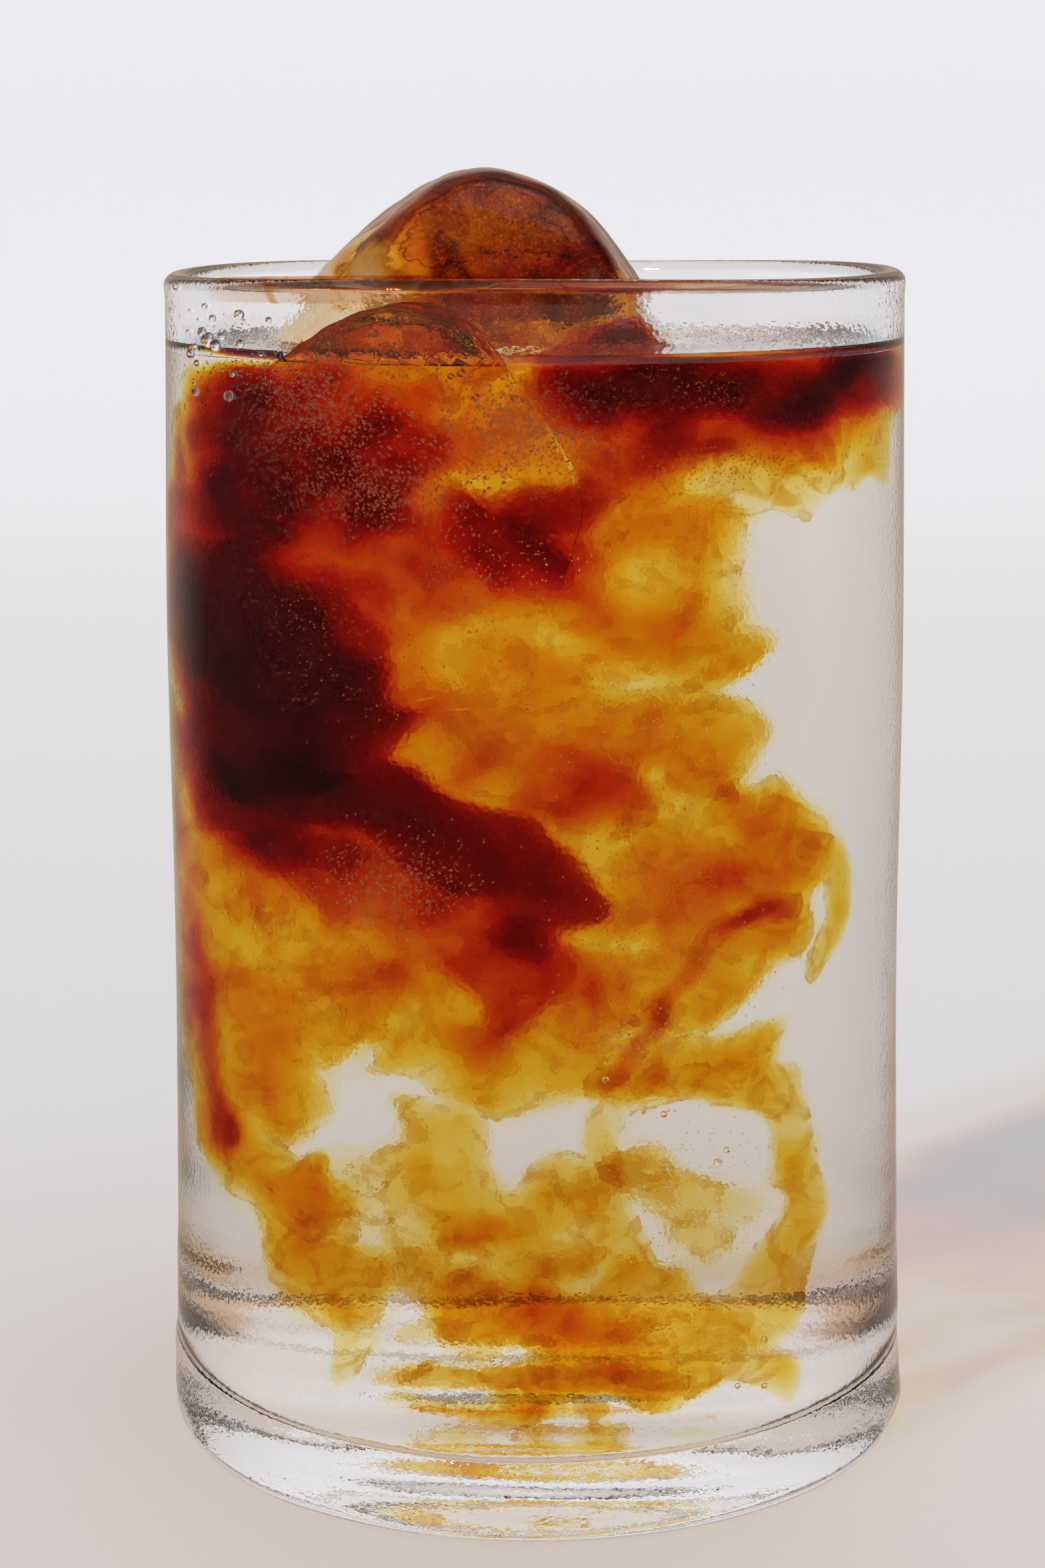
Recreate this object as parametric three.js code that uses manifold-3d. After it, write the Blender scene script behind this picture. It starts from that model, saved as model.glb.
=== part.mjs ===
// A glass of cold brew coffee: a straight tumbler of handmade clear glass, the drink in it up to a little
// under the rim, and two chunks of ice that stand out of the drink. Millimetres, +Z up, origin at the
// centre of the foot.

import * as THREE from "three";
import { mergeVertices } from "three/addons/utils/BufferGeometryUtils.js";
import Module from "manifold-3d";

const wasm = await Module();
wasm.setup();

// Glass
const GLASS_HEIGHT = 118.2;
const FOOT_RADIUS = 38; // outside, just above the rounded edge of the foot
const SKIRT_RADIUS = 37.5; // outside, where the foot's flare ends
const SKIRT_HEIGHT = 18.5;
const WAIST_RADIUS = 37.05; // outside, over the long straight middle
const WAIST_HEIGHT = 42;
const SHOULDER_HEIGHT = 86;
const RIM_RADIUS = 36.55; // outside, just under the lip
const LIP_RADIUS = 1.3; // the rounded bead at the top of the wall
const FOOT_ROUNDING = 2.2;
const WALL_LOW = 3.0; // wall thickness at the inside floor
const WALL_HIGH = 2.4; // wall thickness at the lip
const FLOOR_THICKNESS = 6.8; // at the inside corner
const FLOOR_CROWN = 0.7; // how much higher the inside floor is in the middle
const FLOOR_SWELL = [[0, 1], [0.5, 0.7], [0.85, 0.15]]; // share of the radius, share of the crown
const FLOOR_CORNER = 3.4; // radius between inside floor and wall
const OUT_OF_ROUND = 0.18; // how far the rim drifts from a true circle
const RIM_DRIFT = 0.2; // how far the lip's height drifts
const GLASS_SEGMENTS = 80;

// Drink
const DRINK_LEVEL = 110.7;
const MENISCUS = 0.9; // how far the drink climbs the wall
const MENISCUS_BEND = [0.8, 0.25]; // where its curve bends: in from the wall and up, as shares of the climb
const MENISCUS_REACH = 2.5; // where it runs out into the level, as a share of the climb
const DRINK_SEGMENTS = 64;
const CLEARANCE = 0.3; // between touching pieces

// Ice: each facet is [x, y, z of its direction, distance from the chunk's centre].
const ICE_DETAIL = 8; // subdivisions of the icosahedron
const ICE_SOFTNESS = 13; // the higher, the sharper the edges between facets
const ICE_RIPPLE = 0.012; // melt dimples, as a share of the radius
const ROOM_TOP = 1.2 * GLASS_HEIGHT; // above the highest ice

const CROWN_CENTRE = [-6.5, 3.5, 101];
const CROWN_FACETS = [
  [-0.38, -0.1, 0.92, 27.0], // top, left of the peak
  [0.3, 0.06, 0.95, 27.2], // top, right of the peak
  [-0.68, -0.08, 0.73, 22.6], // long left slope
  [0.87, -0.08, 0.49, 22.2], // steep right slope
  [0.1, -0.93, 0.36, 17.6], // broad front face
  [-0.62, -0.7, 0.36, 21.0], // narrow face left of it
  [0.05, 0.9, 0.43, 19.5], // back slope
  [-0.97, 0.05, 0.1, 21.6],
  [0.97, 0.1, -0.2, 20.5],
  [0.1, 0.98, -0.15, 19.5],
  [0.12, -0.96, -0.25, 13.6],
  [0.1, 0.05, -0.99, 23.0], // underside
];

const FRONT_CENTRE = [-13.5, -21.5, 97];
const FRONT_FACETS = [
  [-0.4, 0.1, 0.91, 16.7], // low top, left
  [0.3, 0.12, 0.95, 18.6], // low top, right
  [-0.86, 0.1, 0.5, 15.2],
  [0.84, 0.1, 0.54, 15.4],
  [-0.1, -1, 0.05, 14.5], // beyond the wall, which trims it
  [0.1, 0.97, 0.2, 8.6], // back face, towards the crown chunk
  [-0.95, 0.2, -0.25, 15.0],
  [0.95, 0.15, -0.3, 14.8],
  [0.1, 0.05, -0.99, 17.5], // underside
];

const MATERIALS = {
  glass: new THREE.MeshStandardMaterial({
    color: 0xe6ebee, roughness: 0.04, metalness: 0, transparent: true, opacity: 0.3,
  }),
  drink: new THREE.MeshStandardMaterial({
    color: 0xb9691c, roughness: 0.05, metalness: 0, transparent: true, opacity: 0.85,
  }),
  crownIce: new THREE.MeshStandardMaterial({
    color: 0x9c5226, roughness: 0.12, metalness: 0, transparent: true, opacity: 0.8,
  }),
  frontIce: new THREE.MeshStandardMaterial({
    color: 0xa86a38, roughness: 0.18, metalness: 0, transparent: true, opacity: 0.8,
  }),
};

// The outside of the wall from foot to lip, as radius over height.
const outsideCurve = new THREE.CatmullRomCurve3([
  new THREE.Vector3(FOOT_RADIUS, FOOT_ROUNDING, 0),
  new THREE.Vector3(SKIRT_RADIUS, SKIRT_HEIGHT, 0),
  new THREE.Vector3(WAIST_RADIUS, WAIST_HEIGHT, 0),
  new THREE.Vector3(WAIST_RADIUS, SHOULDER_HEIGHT, 0),
  new THREE.Vector3(RIM_RADIUS, GLASS_HEIGHT - 2 * LIP_RADIUS, 0),
]);

// A quarter turn of an arc, or any other share, as profile points about a centre.
function arc(centreR, centreZ, radius, fromDegrees, toDegrees, steps) {
  const points = [];
  for (let i = 0; i <= steps; i += 1) {
    const angle = THREE.MathUtils.degToRad(fromDegrees + ((toDegrees - fromDegrees) * i) / steps);
    points.push(new THREE.Vector2(
      centreR + radius * Math.cos(angle), centreZ + radius * Math.sin(angle)));
  }
  return points;
}

// The outside wall's points, bottom to top.
function outsideWall(steps) {
  return outsideCurve.getPoints(steps).map((p) => new THREE.Vector2(p.x, p.y));
}

// The inside radius at a height, from the outside radius less a wall that thins towards the lip.
function insideRadius(z) {
  const wall = THREE.MathUtils.mapLinear(z, FLOOR_THICKNESS, GLASS_HEIGHT, WALL_LOW, WALL_HIGH);
  const points = outsideWall(60);
  const above = points.findIndex((p) => p.y >= z);
  if (above <= 0) return RIM_RADIUS - wall;
  const low = points[above - 1];
  const high = points[above];
  return THREE.MathUtils.mapLinear(z, low.y, high.y, low.x, high.x) - wall;
}

// The inside from the middle of the floor up to a height, drawn in by a clearance.
function insideProfile(topZ, clearance, steps) {
  const floorZ = FLOOR_THICKNESS + clearance;
  const cornerZ = floorZ + FLOOR_CORNER;
  const cornerR = insideRadius(cornerZ) - clearance - FLOOR_CORNER;
  const points = [
    ...FLOOR_SWELL.map(([out, up]) => new THREE.Vector2(cornerR * out, floorZ + FLOOR_CROWN * up)),
    ...arc(cornerR, cornerZ, FLOOR_CORNER, -90, 0, 4),
  ];
  for (let i = 1; i <= steps; i += 1) {
    const z = THREE.MathUtils.lerp(cornerZ, topZ, i / steps);
    points.push(new THREE.Vector2(insideRadius(z) - clearance, z));
  }
  return points;
}

// Moves each point in or out by the wall's slow drift from a true circle, and the lip up or down.
function handmade(geometry, liftsLip) {
  const position = geometry.attributes.position;
  for (let i = 0; i < position.count; i += 1) {
    const x = position.getX(i);
    const y = position.getY(i);
    const z = position.getZ(i);
    const angle = Math.atan2(y, x);
    const up = z / GLASS_HEIGHT;
    const radius = Math.hypot(x, y);
    const drift = OUT_OF_ROUND * up * up * Math.sin(2 * angle + 0.9) * (radius / RIM_RADIUS);
    const grow = radius > 0 ? 1 + drift / radius : 1;
    const lift = liftsLip ? RIM_DRIFT * up ** 12 * Math.sin(3 * angle + 0.4) : 0;
    position.setXYZ(i, x * grow, y * grow, z + lift);
  }
  return geometry;
}

// Turns a profile of radius and height about the Z axis.
function turned(profile, segments) {
  return new THREE.LatheGeometry(profile, segments).rotateX(Math.PI / 2);
}

// Keeps position alone and joins equal points, as a closed solid needs.
function welded(geometry) {
  geometry.deleteAttribute("normal");
  geometry.deleteAttribute("uv");
  return mergeVertices(geometry, 1e-4);
}

// A closed mesh as a solid that can be cut.
function solidOf(geometry) {
  const mesh = welded(geometry);
  return new wasm.Manifold(new wasm.Mesh({
    numProp: 3,
    vertProperties: new Float32Array(mesh.attributes.position.array),
    triVerts: new Uint32Array(mesh.index.array),
  }));
}

// A cut solid back as a mesh's geometry.
function geometryOf(solid) {
  const mesh = solid.getMesh();
  const geometry = new THREE.BufferGeometry();
  geometry.setAttribute("position", new THREE.BufferAttribute(mesh.vertProperties, 3));
  geometry.setIndex(new THREE.BufferAttribute(mesh.triVerts, 1));
  geometry.computeVertexNormals();
  return geometry;
}

// A chunk of melting ice. In each direction its surface lies where the facets' distances, taken together
// as a high power sum, add up to one: the solid that the facets enclose, with its edges rounded off.
function iceChunk(centre, facets, grow) {
  const geometry = new THREE.IcosahedronGeometry(1, ICE_DETAIL);
  const position = geometry.attributes.position;
  const normals = facets.map(([x, y, z]) => new THREE.Vector3(x, y, z).normalize());
  const direction = new THREE.Vector3();
  for (let i = 0; i < position.count; i += 1) {
    direction.fromBufferAttribute(position, i).normalize();
    let sum = 0;
    normals.forEach((normal, n) => {
      const reach = Math.max(0, direction.dot(normal)) / facets[n][3];
      sum += reach ** ICE_SOFTNESS;
    });
    const { x, y, z } = direction;
    const ripple = Math.sin(7 * x + 3 * z) * Math.sin(6 * y - 4 * x) * Math.sin(5 * z + 2 * y + 1);
    const radius = sum ** (-1 / ICE_SOFTNESS) * (1 + ICE_RIPPLE * ripple) + grow;
    direction.multiplyScalar(radius);
    position.setXYZ(i, centre[0] + direction.x, centre[1] + direction.y, centre[2] + direction.z);
  }
  return solidOf(geometry);
}

// The room inside the glass and straight on above it, drawn in by a clearance: what trims the ice.
function insideRoom(clearance) {
  const profile = insideProfile(ROOM_TOP, clearance, 6);
  profile.push(new THREE.Vector2(0, ROOM_TOP));
  return solidOf(handmade(turned(profile, DRINK_SEGMENTS), false));
}

// The tumbler: one closed wall and floor, thick at the foot, with a rounded lip.
function makeGlass() {
  const lipZ = GLASS_HEIGHT - LIP_RADIUS;
  const lipR = RIM_RADIUS - WALL_HIGH / 2;
  const profile = [
    new THREE.Vector2(0, 0),
    ...arc(FOOT_RADIUS - FOOT_ROUNDING, FOOT_ROUNDING, FOOT_ROUNDING, -90, 0, 4),
    ...outsideWall(9).slice(1),
    ...arc(lipR, lipZ, LIP_RADIUS, 0, 180, 6),
    ...insideProfile(GLASS_HEIGHT - 2 * LIP_RADIUS, 0, 7).reverse(),
  ];
  return handmade(turned(profile, GLASS_SEGMENTS), true);
}

// The drink: all the room up to its level, less a pocket round each chunk of ice.
function makeDrink(pockets) {
  const wallRadius = insideRadius(DRINK_LEVEL) - CLEARANCE;
  const [bendIn, bendUp] = MENISCUS_BEND;
  const profile = [
    ...insideProfile(DRINK_LEVEL + MENISCUS, CLEARANCE, 5),
    new THREE.Vector2(wallRadius - bendIn * MENISCUS, DRINK_LEVEL + bendUp * MENISCUS),
    new THREE.Vector2(wallRadius - MENISCUS_REACH * MENISCUS, DRINK_LEVEL),
    new THREE.Vector2(0, DRINK_LEVEL),
  ];
  const full = solidOf(handmade(turned(profile, DRINK_SEGMENTS), false));
  return geometryOf(pockets.reduce((left, pocket) => left.subtract(pocket), full));
}

// The tall chunk whose peak stands well above the rim.
function makeCrownIce() {
  return geometryOf(iceChunk(CROWN_CENTRE, CROWN_FACETS, 0).intersect(insideRoom(CLEARANCE)));
}

// The lower chunk that lies against the front of the wall and just breaks the surface.
function makeFrontIce() {
  const free = iceChunk(FRONT_CENTRE, FRONT_FACETS, 0).intersect(insideRoom(CLEARANCE));
  return geometryOf(free.subtract(iceChunk(CROWN_CENTRE, CROWN_FACETS, CLEARANCE)));
}

function named(name, geometry, material) {
  const mesh = new THREE.Mesh(geometry, material);
  mesh.name = name;
  return mesh;
}

const pockets = [
  iceChunk(CROWN_CENTRE, CROWN_FACETS, CLEARANCE),
  iceChunk(FRONT_CENTRE, FRONT_FACETS, CLEARANCE),
];

const group = new THREE.Group();
group.add(named("glass", makeGlass(), MATERIALS.glass));
group.add(named("drink", makeDrink(pockets), MATERIALS.drink));
group.add(named("ice_crown", makeCrownIce(), MATERIALS.crownIce));
group.add(named("ice_front", makeFrontIce(), MATERIALS.frontIce));

export default group;
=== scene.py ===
# %% [markdown]
# A glass of cold brew coffee. Dark coffee has just been poured over ice and water, and it hangs in the clear
# water as clouds that run from pale gold to near black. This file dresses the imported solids: the glass, the
# drink and two chunks of ice. Everything is in metres, +Z up, with the origin at the centre of the foot.

# %% Load the frame
import math

import bmesh
import bpy
import numpy as np
import openvdb
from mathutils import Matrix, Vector


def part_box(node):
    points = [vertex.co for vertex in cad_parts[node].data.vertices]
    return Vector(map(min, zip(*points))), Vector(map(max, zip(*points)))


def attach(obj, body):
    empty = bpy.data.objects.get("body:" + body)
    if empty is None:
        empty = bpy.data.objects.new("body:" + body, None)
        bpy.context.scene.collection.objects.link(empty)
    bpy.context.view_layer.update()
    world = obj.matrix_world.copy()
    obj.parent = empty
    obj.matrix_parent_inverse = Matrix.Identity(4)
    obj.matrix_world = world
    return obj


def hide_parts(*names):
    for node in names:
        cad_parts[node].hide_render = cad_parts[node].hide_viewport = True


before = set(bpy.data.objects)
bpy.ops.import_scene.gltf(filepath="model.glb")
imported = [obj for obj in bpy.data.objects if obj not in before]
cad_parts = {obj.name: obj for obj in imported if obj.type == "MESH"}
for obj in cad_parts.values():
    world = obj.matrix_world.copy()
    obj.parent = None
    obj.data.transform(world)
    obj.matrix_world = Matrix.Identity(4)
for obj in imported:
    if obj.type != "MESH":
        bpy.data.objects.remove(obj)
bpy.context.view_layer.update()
MM = 0.001

# %% [markdown]
# The glass is a handmade tumbler, so its walls aren't quite straight. Its sizes are read off the packed
# solids where they can be, and the rest repeats the few numbers that the solid was drawn from.

# %% Sizes of the real object
GLASS_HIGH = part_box("glass")[1]
DRINK_LOW, DRINK_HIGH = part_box("drink")
RIM_RISE, RIM_PHASE = 0.2 * MM, 0.4  # the rim's slow rise and fall, and where round the glass it begins
GLASS_HEIGHT = GLASS_HIGH.z - RIM_RISE
MENISCUS = 0.9 * MM
DRINK_LEVEL = DRINK_HIGH.z - MENISCUS
FLOOR_LEVEL = DRINK_LOW.z - 0.3 * MM
LIP_RADIUS = 1.3 * MM
FOOT_ROUNDING = 2.2 * MM
WALL_LOW, WALL_HIGH = 3.0 * MM, 2.4 * MM
FLOOR_CORNER = 3.4 * MM
FLOOR_CROWN = 0.7 * MM
PUNT = 0.9 * MM  # how far the underside of the foot is pushed up inside its contact ring
CONTACT_RING = 33.5 * MM
TOOL_MARK = 0.42 * MM  # ridges that the blower's tools leave in the underside, and that mirror the coffee
OUTSIDE = [(2.2, 38.0), (18.5, 37.5), (42.0, 37.05), (86.0, 37.05), (115.6, 36.55)]  # height, radius in mm
FOOT_RADIUS, RIM_OUTSIDE = 38 * MM, 36.55 * MM
LIP_Z, LIP_R = GLASS_HEIGHT - LIP_RADIUS, RIM_OUTSIDE - WALL_HIGH / 2  # centre of the lip's round section
OUT_OF_ROUND = 0.18 * MM
print("glass height", round(GLASS_HEIGHT / MM, 1), "drink level", round(DRINK_LEVEL / MM, 1))


def outside_radius(z):
    """The wall's outside radius at a height, eased between the stations that the solid was drawn from."""
    heights = np.array([h * MM for h, _ in OUTSIDE])
    radii = np.array([r * MM for _, r in OUTSIDE])
    z = np.clip(z, heights[0], heights[-1])
    i = np.clip(np.searchsorted(heights, z) - 1, 0, len(heights) - 2)
    slopes = np.gradient(radii, heights)
    step = heights[i + 1] - heights[i]
    t = (z - heights[i]) / step
    return ((2 * t**3 - 3 * t**2 + 1) * radii[i] + (t**3 - 2 * t**2 + t) * step * slopes[i]
            + (3 * t**2 - 2 * t**3) * radii[i + 1] + (t**3 - t**2) * step * slopes[i + 1])


def inside_radius(z):
    """The wall's inside radius: the outside less a wall that thins towards the lip."""
    share = np.clip((z - FLOOR_LEVEL) / (GLASS_HEIGHT - FLOOR_LEVEL), 0, 1)
    return outside_radius(z) - (WALL_LOW + (WALL_HIGH - WALL_LOW) * share)


def handmade(x, y, z):
    """The wall's slow drift from a true circle, as the solid has it."""
    angle, up, radius = math.atan2(y, x), z / GLASS_HEIGHT, math.hypot(x, y)
    drift = OUT_OF_ROUND * up * up * math.sin(2 * angle + 0.9) * radius / RIM_OUTSIDE
    grow = 1 + drift / radius if radius > 1e-9 else 1
    return x * grow, y * grow


# %% [markdown]
# The camera stands a little above the rim and looks slightly down, so that the rim is a thin ellipse. Its
# place was worked out from the rim, the sides and the foot in the photograph.

# %% Camera
PHOTO_WIDTH, PHOTO_HEIGHT = 1568, 2352
FOCAL_PIXELS = 4720
AXIS_PIXEL_Y = 1045
CAMERA_DOWN, CAMERA_ROLL = 9.5, 0.17  # degrees
camera_data = bpy.data.cameras.new("camera")
camera = bpy.data.objects.new("camera", camera_data)
bpy.context.scene.collection.objects.link(camera)
bpy.context.scene.camera = camera
camera_data.sensor_width = 36.0
camera_data.lens = FOCAL_PIXELS / PHOTO_HEIGHT * camera_data.sensor_width
camera_data.shift_y = (AXIS_PIXEL_Y - PHOTO_HEIGHT / 2) / PHOTO_HEIGHT
camera.location = (-1.18 * MM, -316.5 * MM, 127.9 * MM)
camera.rotation_euler = (math.radians(90 - CAMERA_DOWN), math.radians(CAMERA_ROLL), 0)
camera_data.clip_start, camera_data.clip_end = 0.01, 20
print("lens", round(camera_data.lens, 1), "mm")

# %% [markdown]
# Light: a warm sun from the front left throws the shadow to the back right, a second one overhead, as wide
# as a window, softens it, and the world fills in. Glass shows what it bends, so the pale paper behind and
# under it is most of its look. The small helpers here build shader nodes for this and the later materials.


# %% Stage and lights
def link(name, mesh, material=None):
    """A mesh as an object at the origin."""
    piece = bpy.data.objects.new(name, mesh)
    bpy.context.scene.collection.objects.link(piece)
    if material:
        mesh.materials.append(material)
    return piece


def new_material(name):
    """An empty node material and its nodes, links and output."""
    material = bpy.data.materials.new(name)
    material.use_nodes = True
    tree = material.node_tree
    tree.nodes.clear()
    return material, tree, tree.nodes.new("ShaderNodeOutputMaterial")


def new_node(nodes, kind, **values):
    """A shader node with some inputs set. An underscore stands for the space in an input's name."""
    node = nodes.new("ShaderNode" + kind)
    for name, value in values.items():
        node.inputs[name.replace("_", " ")].default_value = value
    return node


def noise(nodes, links, place, **values):
    """A noise texture read at a place."""
    node = new_node(nodes, "TexNoise", **values)
    links.new(place, node.inputs["Vector"])
    return node


def bump(nodes, links, height, strength, distance, under=None):
    """Bump from a texture's height, laid over another bump if there is one."""
    node = new_node(nodes, "Bump", Strength=strength, Distance=distance)
    links.new(height.outputs["Fac"], node.inputs["Height"])
    if under:
        links.new(under.outputs["Normal"], node.inputs["Normal"])
    return node


def colour_ramp(nodes, stops):
    """A ramp through (position, colour) stops."""
    node = nodes.new("ShaderNodeValToRGB")
    ramp = node.color_ramp
    while len(ramp.elements) < len(stops):
        ramp.elements.new(0.5)
    for element, (position, colour) in zip(ramp.elements, stops):
        element.position = position
        element.color = (*colour, 1)
    return node


def smooth_mesh(name, bm, outwards=True):
    """A smooth mesh from a bmesh, which is freed."""
    if outwards:
        bmesh.ops.recalc_face_normals(bm, faces=bm.faces[:])
    mesh = bpy.data.meshes.new(name)
    bm.to_mesh(mesh)
    bm.free()
    mesh.shade_smooth()
    return mesh


STAGE_FRONT, STAGE_TURN = -1.2, 0.75  # metres behind the glass's axis
STAGE_CURVE, STAGE_HEIGHT, STAGE_SIDE = 0.5, 2.2, 2.2
# the paper's colour carries a painted falloff of the light: warmer and darker in front, brighter up the wall
PAPER_TONES_AND_PAINTED_FALLOFF = [(-0.10, (0.78, 0.75, 0.73)), (0.10, (0.81, 0.81, 0.82)), (0.75, (0.88, 0.88, 0.91)),
               (1.25, (0.86, 0.87, 0.91)), (1.7, (0.97, 0.98, 1.0))]  # along floor and wall, front to top


def paper_material():
    """Matt paper with a faint tooth. Painted light falloff: warmer in front, cooler and brighter towards the
    top of the wall.
    """
    material, tree, out = new_material("paper")
    nodes, links = tree.nodes, tree.links
    shader = new_node(nodes, "BsdfPrincipled", Roughness=0.9)
    place = nodes.new("ShaderNodeTexCoord").outputs["Object"]
    parts = nodes.new("ShaderNodeSeparateXYZ")
    links.new(place, parts.inputs[0])
    along = nodes.new("ShaderNodeMath")
    along.operation = "ADD"
    links.new(parts.outputs["Y"], along.inputs[0])
    links.new(parts.outputs["Z"], along.inputs[1])
    low, high = PAPER_TONES_AND_PAINTED_FALLOFF[0][0], PAPER_TONES_AND_PAINTED_FALLOFF[-1][0]
    share = new_node(nodes, "MapRange", From_Min=low, From_Max=high)
    links.new(along.outputs[0], share.inputs["Value"])
    tones = colour_ramp(nodes, [((reach - low) / (high - low), colour) for reach, colour in PAPER_TONES_AND_PAINTED_FALLOFF])
    links.new(share.outputs["Result"], tones.inputs["Fac"])
    links.new(tones.outputs["Color"], shader.inputs["Base Color"])
    tooth = noise(nodes, links, place, Scale=900, Detail=1)
    links.new(bump(nodes, links, tooth, 0.15, 0.0002).outputs["Normal"], shader.inputs["Normal"])
    links.new(shader.outputs[0], out.inputs["Surface"])
    return material


def sweep():
    """Floor that curves up into a wall: one line of (y, z) pulled from left to right."""
    turns = [math.pi / 2 * i / 24 for i in range(25)]
    profile = [(STAGE_FRONT, 0.0)]
    profile += [(STAGE_TURN + STAGE_CURVE * math.sin(a), STAGE_CURVE * (1 - math.cos(a))) for a in turns]
    profile.append((STAGE_TURN + STAGE_CURVE, STAGE_HEIGHT))
    bm = bmesh.new()
    edge = [bm.verts.new((-STAGE_SIDE, y, z)) for y, z in profile]
    for a, b in zip(edge, edge[1:]):
        bm.edges.new((a, b))
    grown = bmesh.ops.extrude_edge_only(bm, edges=bm.edges[:])["geom"]
    moved = [v for v in grown if isinstance(v, bmesh.types.BMVert)]
    bmesh.ops.translate(bm, verts=moved, vec=(2 * STAGE_SIDE, 0, 0))
    paper = link("paper", smooth_mesh("paper", bm), paper_material())
    paper.visible_glossy = False  # the world stands in for it in the shine, with softer edges


def sun(name, energy, colour, location, target, width):
    """A sun that faces a target and is as wide in the sky as an angle in degrees."""
    data = bpy.data.lights.new(name, "SUN")
    data.energy = energy
    data.color = colour
    data.angle = math.radians(width)
    lamp_object = bpy.data.objects.new(name, data)
    bpy.context.scene.collection.objects.link(lamp_object)
    lamp_object.location = location
    facing = Vector(target) - Vector(location)
    lamp_object.rotation_euler = facing.to_track_quat("-Z", "Y").to_euler()
    return lamp_object


def studio_world(light, seen_through, behind, room):
    """Even soft light. Looked at through the glass it is brighter, and the glass's shine sees it bright
    behind and overhead and dim on the camera's side, as a dark room would be."""
    world = bpy.data.worlds.new("studio")
    bpy.context.scene.world = world
    # so even a light needs no lamp rays of its own, and many of them would have to cross the drink
    world.cycles.sampling_method = "NONE"
    world.use_nodes = True
    nodes, links = world.node_tree.nodes, world.node_tree.links
    sky = nodes["Background"]
    rays = nodes.new("ShaderNodeLightPath")
    place = nodes.new("ShaderNodeTexCoord")
    parts = nodes.new("ShaderNodeSeparateXYZ")
    links.new(place.outputs["Generated"], parts.inputs[0])
    reaches = []
    for axis, begin, end, low, high in (("Z", 0.45, 0.8, room, light), ("Y", 0.45, 0.97, room, behind)):
        reach = new_node(nodes, "MapRange", From_Min=begin, From_Max=end, To_Min=low, To_Max=high)
        reach.interpolation_type = "SMOOTHSTEP"
        links.new(parts.outputs[axis], reach.inputs["Value"])
        reaches.append(reach)
    shine = nodes.new("ShaderNodeMath")
    shine.operation = "MAXIMUM"
    for socket, reach in zip(shine.inputs, reaches):
        links.new(reach.outputs["Result"], socket)
    direct = nodes.new("ShaderNodeMix")
    direct.inputs["A"].default_value = light
    links.new(rays.outputs["Is Glossy Ray"], direct.inputs["Factor"])
    links.new(shine.outputs[0], direct.inputs["B"])
    through = nodes.new("ShaderNodeMix")
    through.inputs["B"].default_value = seen_through
    links.new(rays.outputs["Is Transmission Ray"], through.inputs["Factor"])
    links.new(direct.outputs["Result"], through.inputs["A"])
    links.new(through.outputs["Result"], sky.inputs["Strength"])
    tint = nodes.new("ShaderNodeMix")
    tint.data_type = "RGBA"
    tint.inputs["A"].default_value = (0.93, 0.95, 1.0, 1)
    tint.inputs["B"].default_value = (1.0, 0.93, 0.89, 1)
    links.new(rays.outputs["Is Transmission Ray"], tint.inputs["Factor"])
    shine_tint = nodes.new("ShaderNodeMix")
    shine_tint.data_type = "RGBA"
    shine_tint.inputs["B"].default_value = (1.0, 0.78, 0.62, 1)
    links.new(rays.outputs["Is Glossy Ray"], shine_tint.inputs["Factor"])
    links.new(tint.outputs["Result"], shine_tint.inputs["A"])
    links.new(shine_tint.outputs["Result"], sky.inputs["Color"])


sweep()
studio_world(light=0.475, seen_through=0.72, behind=0.5, room=0.04)
key = sun("key", 1.35, (1.0, 0.95, 0.90), (-1.0, -1.0, 0.95), (0, 0, 0.05), 3)
overhead = sun("overhead", 0.46, (1.0, 0.94, 0.88), (0.3, -0.2, 1.0), (0, 0, 0), 50)
for light in (key, overhead):
    # what it sends through the glass is in the shadow rays, and counts once
    light.visible_transmission = False
bpy.context.scene.view_settings.view_transform = "Standard"
limits = bpy.context.scene.cycles
limits.max_bounces, limits.transmission_bounces, limits.transparent_max_bounces = 28, 20, 72
limits.glossy_bounces, limits.diffuse_bounces, limits.volume_bounces = 8, 2, 0
print("lights:", key.name, overhead.name)


# %% [markdown]
# Clear things are the same recipe: light bends at the surface, but for the lamps' shadow rays and for light
# that the floor gathers the surface is only a tint, so that the shadow stays pale, warm and free of noise.


# %% Materials for what is clear
def clear_material(name, ior, shadow_tint, tint=(1, 1, 1), waves=None, grain=None):
    """A clear solid or liquid. Waves and finer grain on it are (scale, height in metres)."""
    material, tree, out = new_material(name)
    nodes, links = tree.nodes, tree.links
    shader = new_node(nodes, "BsdfPrincipled", Base_Color=(*tint, 1), Roughness=0, IOR=ior,
                      Transmission_Weight=1)
    if waves:
        make_wavy(nodes, links, shader, waves, grain)
    open_to_lamps = new_node(nodes, "BsdfTransparent", Color=(*shadow_tint, 1))
    rays = nodes.new("ShaderNodeLightPath")
    lamp_or_floor = nodes.new("ShaderNodeMath")
    lamp_or_floor.operation = "MAXIMUM"
    links.new(rays.outputs["Is Shadow Ray"], lamp_or_floor.inputs[0])
    links.new(rays.outputs["Is Diffuse Ray"], lamp_or_floor.inputs[1])
    choose = nodes.new("ShaderNodeMixShader")
    links.new(lamp_or_floor.outputs[0], choose.inputs["Fac"])
    links.new(shader.outputs[0], choose.inputs[1])
    links.new(open_to_lamps.outputs[0], choose.inputs[2])
    links.new(choose.outputs[0], out.inputs["Surface"])
    return material


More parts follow.
